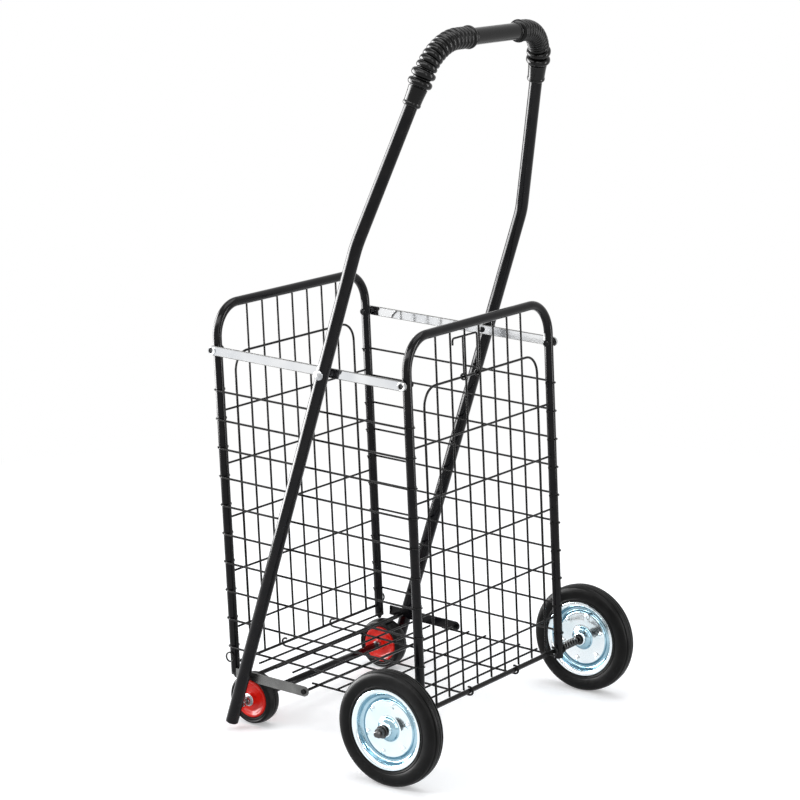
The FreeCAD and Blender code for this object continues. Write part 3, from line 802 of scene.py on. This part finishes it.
def buildStrapPins(node):
    # tubular rivet, from its hollow head through strap, spacer and post to its tail
    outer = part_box(node)[1][1]
    strapIn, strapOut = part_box("strap_far")[0][1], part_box("strap_far")[1][1]
    post = cart["postY"] + cart["post"]
    tail = cart["postY"] - cart["post"] - 0.0002
    edge, shank, spacer = rivet["flange"], rivet["shank"], rivet["spacer"]
    profile = [(0.0001, outer - rivet["depth"]), (rivet["bore"] - 0.0005, outer - rivet["depth"]),
               (rivet["bore"], outer - 0.0005), (rivet["bore"] + rivet["lip"], outer),
               (edge - 0.0012, outer - 0.0003), (edge, outer - 0.0014), (edge, strapOut + 0.0002),
               (shank, strapOut + 0.0002), (shank, strapIn - 0.0003), (spacer, strapIn - 0.0003),
               (spacer, post + 0.0002), (shank, post + 0.0002), (shank, tail),
               (rivet["tail"], tail), (rivet["tail"], tail - 0.0010), (0.0034, tail - 0.0022),
               (0.0001, tail - 0.0022)]
    centre = centreOf(node)

    # painted shade: the hollow of the rivet head takes black plastic for the shade in its bore
    def inShadedBore(middle):
        away = math.hypot(middle.x - centre.x, middle.z - centre.z)
        return abs(middle.y) > strapOut and away < rivet["bore"]

    piece = finishPiece(mirroredLathe(profile, centre), node + "_rolled", node,
                        zones=(("capPlastic", inShadedBore),
                               ("blackTube", lambda middle: abs(middle.y) < strapIn)))
    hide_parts(node)


def buildHandlePins():
    # domed rivet, from its head through leg, spacer and strap to its tail
    node = "handle_pins"
    outer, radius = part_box(node)[1][1], sizeOf(node).x / 2
    strapIn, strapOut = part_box("strap_far")[0][1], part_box("strap_far")[1][1]
    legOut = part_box("handle_tube")[1][1] + 0.00005
    legIn = legOut - 2 * cart["leg"] - 0.0001
    shank, spacer, tail = handleRivet["shank"], handleRivet["spacer"], handleRivet["tail"]
    dome = [(0.0001, outer)]
    for i in range(1, 9):
        turn = math.pi / 2 * i / 8
        dome.append((radius * math.sin(turn), legOut + 0.0006 + (outer - legOut - 0.0006) * math.cos(turn)))
    profile = dome + [(radius, legOut), (shank, legOut), (shank, legIn), (spacer, legIn),
                      (spacer, strapOut + 0.0003), (shank, strapOut + 0.0003), (shank, strapIn - 0.0003),
                      (tail, strapIn - 0.0003), (tail, strapIn - 0.0012), (shank, strapIn - 0.0019),
                      (0.0001, strapIn - 0.0019)]
    piece = finishPiece(mirroredLathe(profile, centreOf(node)), node + "_domed", node, smoothAngle=45,
                        zones=(("blackTube", lambda middle: abs(middle.y) < legIn + 0.0001),))
    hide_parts(node)


for pinNode in ("rear_strap_pins", "front_strap_pins"):
    buildStrapPins(pinNode)
buildHandlePins()

collar = {"wire": 0.0010, "clear": 0.0001, "from": 22.0, "to": 112.0, "steps": 14}


def buildCollars(frameNode, outward):
    # every rung's wire end carried on round its post, on the side away from the basket
    reach = cart["post"] + collar["wire"] + collar["clear"]
    bm = bmesh.new()
    for name in sorted(nodes):
        if not name.startswith("rung_"):
            continue
        low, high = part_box(name)
        x = high[0] - cart["headRadius"] if outward > 0 else low[0] + cart["headRadius"]
        z = low[2] + cart["headRadius"] if outward > 0 else high[2] - cart["headRadius"]
        for sign in (-1, 1):
            line = []
            for step in range(collar["steps"] + 1):
                turn = math.radians(collar["from"] + (collar["to"] - collar["from"])
                                    * step / collar["steps"])
                line.append(Vector((x + outward * reach * math.sin(turn),
                                    sign * (cart["postY"] + reach * math.cos(turn)), z)))
            tube(bm, line, lambda distance: collar["wire"], 12)
    piece = finishPiece(bm, frameNode + "_wireEnds", frameNode, "blackWire", smoothAngle=60)


buildCollars("rear_frame", 1)
buildCollars("front_frame", -1)

footCurl = {"radius": 0.0066, "wire": 0.0012, "rise": 0.0095, "back": 0.0036, "turn": 335.0,
            "spread": 0.0008, "steps": 36}


def buildFootCurls():
    # eyes at the front ends of the lowest rungs, on the outer side of the front posts
    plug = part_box("front_foot_plugs")
    x = (plug[0][0] + plug[1][0]) / 2 - footCurl["back"]
    z = plug[1][2] + cart["post"] * 2 + footCurl["rise"]
    y = cart["postY"] + cart["post"] + footCurl["wire"] + 0.0001
    bm = bmesh.new()
    for sign in (-1, 1):
        line = []
        for step in range(footCurl["steps"] + 1):
            share = step / footCurl["steps"]
            turn = math.radians(footCurl["turn"] * share - 60)
            line.append(Vector((x + footCurl["radius"] * math.cos(turn),
                                sign * (y + footCurl["spread"] * share),
                                z + footCurl["radius"] * math.sin(turn))))
        tube(bm, line, lambda distance: footCurl["wire"], 12)
    finishPiece(bm, "footCurls", "rung_01", smoothAngle=60)


strapEdge = {"half": 0.0065, "wire": 0.0006, "inset": 0.0004, "steps": 14}


def buildStrapEdges(node):
    # thin dark grey wires round the rim of both faces of a strap: painted shade that draws its edges dark
    ends = [centreOf("front_strap_pins"), centreOf("rear_strap_pins")]
    along = (Vector((ends[1].x, 0, ends[1].z)) - Vector((ends[0].x, 0, ends[0].z))).normalized()
    up = Vector((-along.z, 0, along.x))
    radius = strapEdge["half"] - strapEdge["inset"]
    faces = (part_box(node)[0][1] + strapEdge["inset"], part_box(node)[1][1] - strapEdge["inset"])
    bm = bmesh.new()
    for face in faces:
        line = []
        for end, start in ((ends[1], 90), (ends[0], 270)):
            for step in range(strapEdge["steps"] + 1):
                turn = math.radians(start - 180 * step / strapEdge["steps"])
                offset = along * (radius * math.cos(turn)) + up * (radius * math.sin(turn))
                line.append(Vector((end.x, face, end.z)) + offset)
        line.append(line[0].copy())
        tube(bm, line, lambda distance: strapEdge["wire"], 8)
    piece = finishPiece(bm, node + "_edge", node, "paintedShadePlate", smoothAngle=60)


smallSleeve = {"short": 0.0065, "bore": 0.0041, "radius": 0.0055, "edge": 0.0004}


def buildSmallAxleSleeve():
    # black tube over the small axle between the two wheels
    centre = centreOf("small_axle")
    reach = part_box("small_hub_far")[0][1] - smallSleeve["short"]
    bore, radius, edge = smallSleeve["bore"], smallSleeve["radius"], smallSleeve["edge"]
    profile = [(bore, -reach), (radius - 0.0003, -reach), (radius, -reach + edge), (radius, reach - edge),
               (radius - 0.0003, reach), (bore, reach)]
    bm = bmesh.new()
    lathe(bm, profile, Vector((centre.x, 0, centre.z)), 40)
    piece = finishPiece(bm, "smallAxleSleeve", "handle_tube", smoothAngle=40)


for strapNode in ("strap_near", "strap_far"):
    buildStrapEdges(strapNode)
buildFootCurls()
buildSmallAxleSleeve()
print("stage: rivets and wire ends built")

# floor, backdrop and light

studio = {"floorSize": 30.0, "floorColour": (0.86, 0.87, 0.89), "lift": 0.30,
          "fadeFrom": 0.75, "fadeTo": 1.7, "ambient": 0.55}


def backdropStrength(tree):
    # plain white where it is seen, dimmer where it only lights the cart
    path = tree.nodes.new("ShaderNodeLightPath")
    mirrored = addMath(tree, "MAXIMUM", path.outputs["Is Glossy Ray"], path.outputs["Is Transmission Ray"])
    seen = addMath(tree, "MAXIMUM", path.outputs["Is Camera Ray"], mirrored)
    strength = addMath(tree, "MULTIPLY", seen, 1.0 - studio["ambient"])
    return addMath(tree, "ADD", strength, studio["ambient"])


def makeStudioMaterial():
    # pale floor that takes the shadows near the cart and runs out to plain white
    material = bpy.data.materials.new("studioFloor")
    material.use_nodes = True
    tree = material.node_tree
    shader = tree.nodes["Principled BSDF"]
    coords = tree.nodes.new("ShaderNodeTexCoord").outputs["Object"]
    distance = tree.nodes.new("ShaderNodeVectorMath")
    distance.operation = "LENGTH"
    tree.links.new(coords, distance.inputs[0])
    fade = addRange(tree, distance.outputs["Value"], studio["fadeFrom"], studio["fadeTo"], 0.0, 1.0)
    grain = addNoise(tree, 40.0, 3.0, coords)
    shade = addRange(tree, grain, 0.3, 0.7, 0.985, 1.0)
    colour = tree.nodes.new("ShaderNodeMix")
    colour.data_type = "RGBA"
    colour.inputs["A"].default_value = (0, 0, 0, 1)
    colour.inputs["B"].default_value = (*studio["floorColour"], 1)
    tree.links.new(shade, colour.inputs["Factor"])
    tree.links.new(colour.outputs["Result"], shader.inputs["Base Color"])
    shader.inputs["Roughness"].default_value = 0.9
    shader.inputs["Specular IOR Level"].default_value = 0.1
    shader.inputs["Emission Color"].default_value = (1, 1, 1, 1)
    shader.inputs["Emission Strength"].default_value = studio["lift"]
    white = tree.nodes.new("ShaderNodeEmission")
    tree.links.new(backdropStrength(tree), white.inputs["Strength"])
    both = tree.nodes.new("ShaderNodeMixShader")
    tree.links.new(fade, both.inputs["Fac"])
    tree.links.new(shader.outputs["BSDF"], both.inputs[1])
    tree.links.new(white.outputs["Emission"], both.inputs[2])
    tree.links.new(both.outputs["Shader"], tree.nodes["Material Output"].inputs["Surface"])
    return material


def buildStudio():
    bpy.ops.mesh.primitive_plane_add(size=studio["floorSize"], location=(0, 0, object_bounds()[0][2] - 0.0002))
    floor = bpy.context.object
    floor.name = "studioFloor"
    floor.data.materials.append(makeStudioMaterial())
    world = bpy.data.worlds.new("studioWorld")
    bpy.context.scene.world = world
    world.use_nodes = True
    tree = world.node_tree
    background = tree.nodes["Background"]
    background.inputs["Color"].default_value = (1, 1, 1, 1)
    tree.links.new(backdropStrength(tree), background.inputs["Strength"])


# each lamp: place, aim, size along and across, power; gleam lamps only show as reflections
lamps = {
    "keySoftbox": {"place": (-1.6, -2.4, 2.6), "aim": (0.0, 0.0, 0.5), "size": (1.6, 1.2), "power": 52.0,
                   "gleam": False},
    "fillSoftbox": {"place": (2.6, -1.4, 1.5), "aim": (0.0, 0.0, 0.45), "size": (0.9, 2.0), "power": 18.0,
                    "gleam": False},
    "topSoftbox": {"place": (0.2, 0.6, 3.4), "aim": (0.0, 0.0, 0.2), "size": (2.2, 2.2), "power": 46.0,
                   "gleam": False},
    "leftGleam": {"place": (-1.88, -0.68, 0.60), "aim": (0.0, 0.0, 0.60), "size": (1.6, 2.2),
                  "power": 260.0, "gleam": True},
    "rightGleam": {"place": (2.1, 0.9, 0.60), "aim": (0.0, 0.0, 0.60), "size": (0.5, 2.0),
                   "power": 40.0, "gleam": True},
    "overGleam": {"place": (0.5, -1.9, 2.6), "aim": (0.0, 0.0, 0.4), "size": (2.4, 1.2),
                  "power": 50.0, "gleam": True},
}


def addLamp(name, lamp):
    data = bpy.data.lights.new(name, "AREA")
    data.shape = "RECTANGLE"
    data.size, data.size_y = lamp["size"]
    data.energy = lamp["power"]
    obj = bpy.data.objects.new(name, data)
    obj.location = lamp["place"]
    aim = Vector(lamp["aim"]) - obj.location
    obj.rotation_euler = aim.to_track_quat("-Z", "Y").to_euler()
    obj.visible_camera = False
    obj.visible_diffuse = not lamp["gleam"]
    bpy.context.scene.collection.objects.link(obj)


view = {"azimuth": 35.8, "elevation": 12.75, "distance": 3.7275, "aimX": -0.0214, "aimZ": 0.4607,
        "lens": 119.62}


def addCamera():
    azimuth, elevation = math.radians(view["azimuth"]), math.radians(view["elevation"])
    back = Vector((math.sin(azimuth) * math.cos(elevation), -math.cos(azimuth) * math.cos(elevation),
                   math.sin(elevation)))
    data = bpy.data.cameras.new("camera")
    data.lens = view["lens"]
    data.sensor_width = 36.0
    camera = bpy.data.objects.new("camera", data)
    target = Vector((view["aimX"], 0, view["aimZ"]))
    camera.location = target + back * view["distance"]
    camera.rotation_euler = (-back).to_track_quat("-Z", "Y").to_euler()
    bpy.context.scene.collection.objects.link(camera)
    bpy.context.scene.camera = camera


buildStudio()
for lampName, lampValues in lamps.items():
    addLamp(lampName, lampValues)
addCamera()
bpy.context.scene.view_settings.view_transform = "Standard"
print("stage: studio and camera ready")
